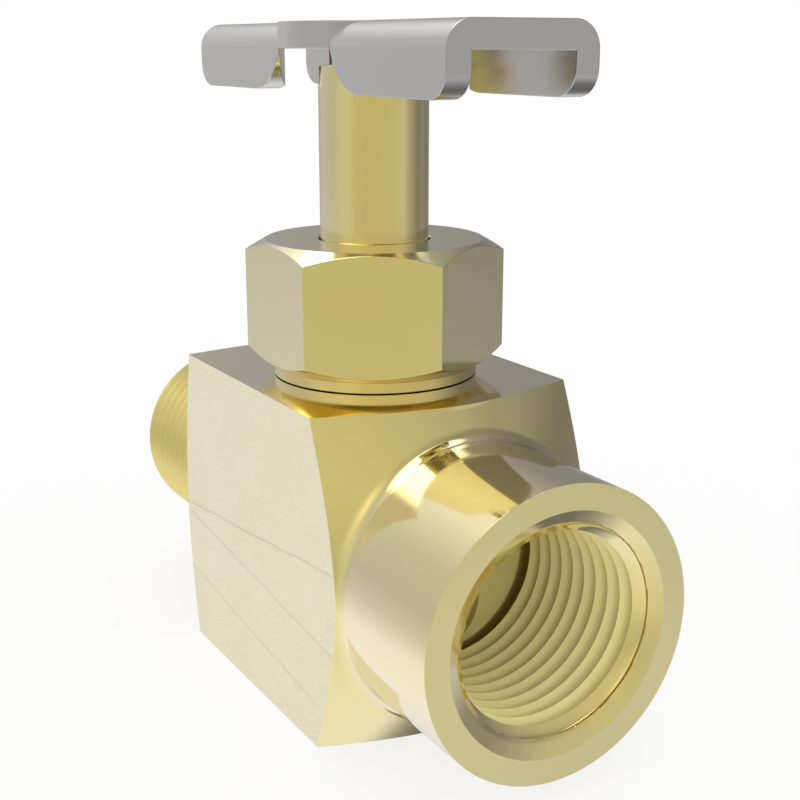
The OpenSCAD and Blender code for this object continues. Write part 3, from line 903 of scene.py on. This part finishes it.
studio = dict(
    # floor and tent in metres
    floorSize=3.0, paper="#FFFFFF", shadowShare=0.22,
    tentRadius=0.8, tentHeight=0.03, tentSegments=64, level=0.61,
    # brightness of the tent's cloth by its direction: height from -1 to 1, then pairs of the
    # angle from +X in degrees and the brightness there
    bands=[
        (-0.87, [(-180, 1.5), (20, 1.5), (50, 0.6), (70, 0.3), (105, 0.28), (125, 0.5),
                 (150, 1.5), (180, 1.5)]),
        (-0.64, [(-180, 1.5), (-165, 1.6), (-100, 1.6), (-60, 1.42), (-30, 1.4), (0, 1.25),
                 (30, 1.1), (55, 0.5), (70, 0.3), (105, 0.28), (122, 0.5), (145, 1.3), (180, 1.5)]),
        (-0.45, [(-180, 1.35), (-160, 1.55), (-100, 1.5), (-60, 1.3), (-30, 1.25), (0, 1.15),
                 (30, 1.12), (60, 1.0), (90, 0.95), (120, 1.05), (150, 1.25), (180, 1.35)]),
        (-0.26, [(-180, 0.95), (-150, 1.1), (-120, 1.15), (-90, 1.15), (-60, 1.0), (-30, 1.0),
                 (30, 1.0), (45, 0.85), (60, 0.66), (75, 0.45), (90, 0.58), (105, 0.45),
                 (120, 0.45), (150, 0.75), (180, 0.95)]),
        (-0.05, [(-180, 0.82), (-165, 0.9), (-120, 0.9), (-97, 1.07), (-82, 1.1), (-67, 0.97),
                 (-52, 0.93), (8, 0.98), (36, 1.07), (47, 0.72), (60, 0.53), (75, 0.32),
                 (90, 0.44), (105, 0.33), (120, 0.36), (143, 0.45), (165, 0.65), (180, 0.82)]),
        (0.34, [(-180, 0.97), (-160, 1.07), (-135, 0.97), (-112, 1.0), (-97, 1.16), (-75, 1.25),
                (-60, 1.38), (-45, 1.2), (-15, 1.1), (15, 1.0), (37, 0.9), (52, 0.72), (67, 0.5),
                (82, 0.31), (105, 0.28), (128, 0.3), (143, 0.47), (158, 0.64), (170, 0.85),
                (180, 0.97)]),
        (0.62, [(-180, 1.6), (-165, 1.55), (-140, 1.2), (-112, 0.95), (-85, 1.1), (-70, 1.6),
                (-56, 1.8), (-42, 1.6), (-27, 1.15), (8, 0.95), (37, 0.75), (52, 0.5), (67, 0.4),
                (90, 0.36), (112, 0.4), (140, 0.5), (160, 0.95), (180, 1.6)]),
        (0.87, [(-180, 1.9), (-150, 1.9), (-120, 1.3), (-90, 1.0), (-45, 0.9), (0, 0.8),
                (25, 0.64), (60, 0.5), (90, 0.55), (120, 0.65), (150, 1.2), (180, 1.9)]),
    ],
    boxAngle=-170, boxHeight=78, boxGlow=3.5, boxEdge=33, boxCore=20,  # degrees, but the glow
)


def makeFloor(s):
    bm = bmesh.new()
    half = s["floorSize"] / 2
    corners = ((-half, -half, 0), (half, -half, 0), (half, half, 0), (-half, half, 0))
    bm.faces.new([bm.verts.new(corner) for corner in corners])
    floor = toPiece("floor", bm)
    floor.visible_glossy = False  # metal mirrors the tent in its place
    material, tree = newMaterial("white_paper")
    colour = linearColour(s["paper"])
    paper = addNode(tree, "BsdfDiffuse", {"Color": colour})
    backlit = addNode(tree, "Emission", {"Color": colour, "Strength": 1.0})
    # what looks straight at the paper sees it white, apart from its share of shadow
    rays = addNode(tree, "LightPath")
    seen = rays.outputs["Is Camera Ray"]
    for ray in ("Is Glossy Ray", "Is Transmission Ray"):
        added = addNode(tree, "Math", {"operation": "ADD"}, {0: seen, 1: rays.outputs[ray]})
        seen = added.outputs[0]
    share = addNode(tree, "Math", {"operation": "MULTIPLY", 1: 1 - s["shadowShare"]}, {0: seen})
    mixed = addNode(
        tree, "MixShader", {}, {0: share.outputs[0], 1: paper.outputs[0], 2: backlit.outputs[0]},
    )
    addNode(tree, "OutputMaterial", {}, {"Surface": mixed.outputs[0]})
    floor.data.materials.append(material)


def makeTent(s):
    # a light tent of pale cloth that only the metal's reflections see
    bm = bmesh.new()
    bmesh.ops.create_uvsphere(
        bm, u_segments=s["tentSegments"], v_segments=s["tentSegments"] // 2,
        radius=s["tentRadius"],
    )
    tent = toPiece("light_tent", bm)
    tent.location.z = s["tentHeight"]
    tent.visible_camera = False
    tent.visible_diffuse = False
    tent.visible_transmission = False
    tent.visible_shadow = False
    material, tree = newMaterial("tent_cloth")
    place = addNode(tree, "TexCoord").outputs["Object"]
    way = addNode(tree, "VectorMath", {"operation": "NORMALIZE"}, {0: place})
    height = addNode(tree, "SeparateXYZ", {}, {0: way.outputs[0]}).outputs[2]
    angle = addNode(
        tree, "TexGradient", {"gradient_type": "RADIAL"}, {"Vector": way.outputs[0]},
    )
    rampTop = 2  # a ramp stops at 1, so it holds brightness as a share of this
    cloth, below = None, None
    for above, stops in s["bands"]:
        ramp = addNode(tree, "ValToRGB", {}, {"Fac": angle.outputs["Fac"]})
        marks = ramp.color_ramp.elements
        marks.remove(marks[-1])
        for index, (degrees, value) in enumerate(stops):
            position = (degrees + 180) / 360
            mark = marks[0] if index == 0 else marks.new(position)
            mark.position = position
            mark.color = [value / rampTop] * 3 + [1]
        if cloth is None:
            cloth = ramp.outputs["Color"]
        else:
            climb = addNode(tree, "MapRange", {1: below, 2: above}, {0: height})
            blend = addNode(
                tree, "Mix", {"data_type": "FLOAT"},
                {0: climb.outputs[0], 2: cloth, 3: ramp.outputs["Color"]},
            )
            cloth = blend.outputs[0]
        below = above
    # the softbox overhead
    turn, lift = math.radians(s["boxAngle"]), math.radians(s["boxHeight"])
    toBox = (math.cos(turn) * math.cos(lift), math.sin(turn) * math.cos(lift), math.sin(lift))
    facing = addNode(
        tree, "VectorMath", {"operation": "DOT_PRODUCT", 1: toBox}, {0: way.outputs[0]},
    )
    edge, core = math.cos(math.radians(s["boxEdge"])), math.cos(math.radians(s["boxCore"]))
    box = addNode(
        tree, "MapRange",
        {"interpolation_type": "SMOOTHSTEP", 1: edge, 2: core, 4: s["boxGlow"] / rampTop},
        {0: facing.outputs["Value"]},
    )
    total = addNode(tree, "Math", {"operation": "ADD"}, {0: cloth, 1: box.outputs[0]})
    strength = addNode(
        tree, "Math", {"operation": "MULTIPLY", 1: rampTop * s["level"]}, {0: total.outputs[0]},
    )
    glow = addNode(tree, "Emission", {}, {"Strength": strength.outputs[0]})
    addNode(tree, "OutputMaterial", {}, {"Surface": glow.outputs[0]})
    tent.data.materials.append(material)


makeFloor(studio)
makeTent(studio)

world = bpy.data.worlds.new("studio")
world.use_nodes = True
background = world.node_tree.nodes["Background"]
background.inputs["Color"].default_value = (1, 1, 1, 1)
background.inputs["Strength"].default_value = 1.0
scene.world = world

# lens, sensor and place in millimetres, angles in degrees, nearest in metres
cameraSettings = dict(
    lens=59.46, sensor=36, place=(93.34, -51.78, 52.42), pitch=74.9, turn=59.87, nearest=0.005,
)
camera = bpy.data.objects.new("camera", bpy.data.cameras.new("camera"))
camera.data.lens = cameraSettings["lens"]
camera.data.sensor_width = cameraSettings["sensor"]
camera.data.clip_start = cameraSettings["nearest"]
camera.location = Vector(cameraSettings["place"]) * mm
pitch, turn = math.radians(cameraSettings["pitch"]), math.radians(cameraSettings["turn"])
camera.rotation_euler = (pitch, 0, turn)
scene.collection.objects.link(camera)
scene.camera = camera
scene.view_settings.view_transform = "Standard"
print("studio ready")
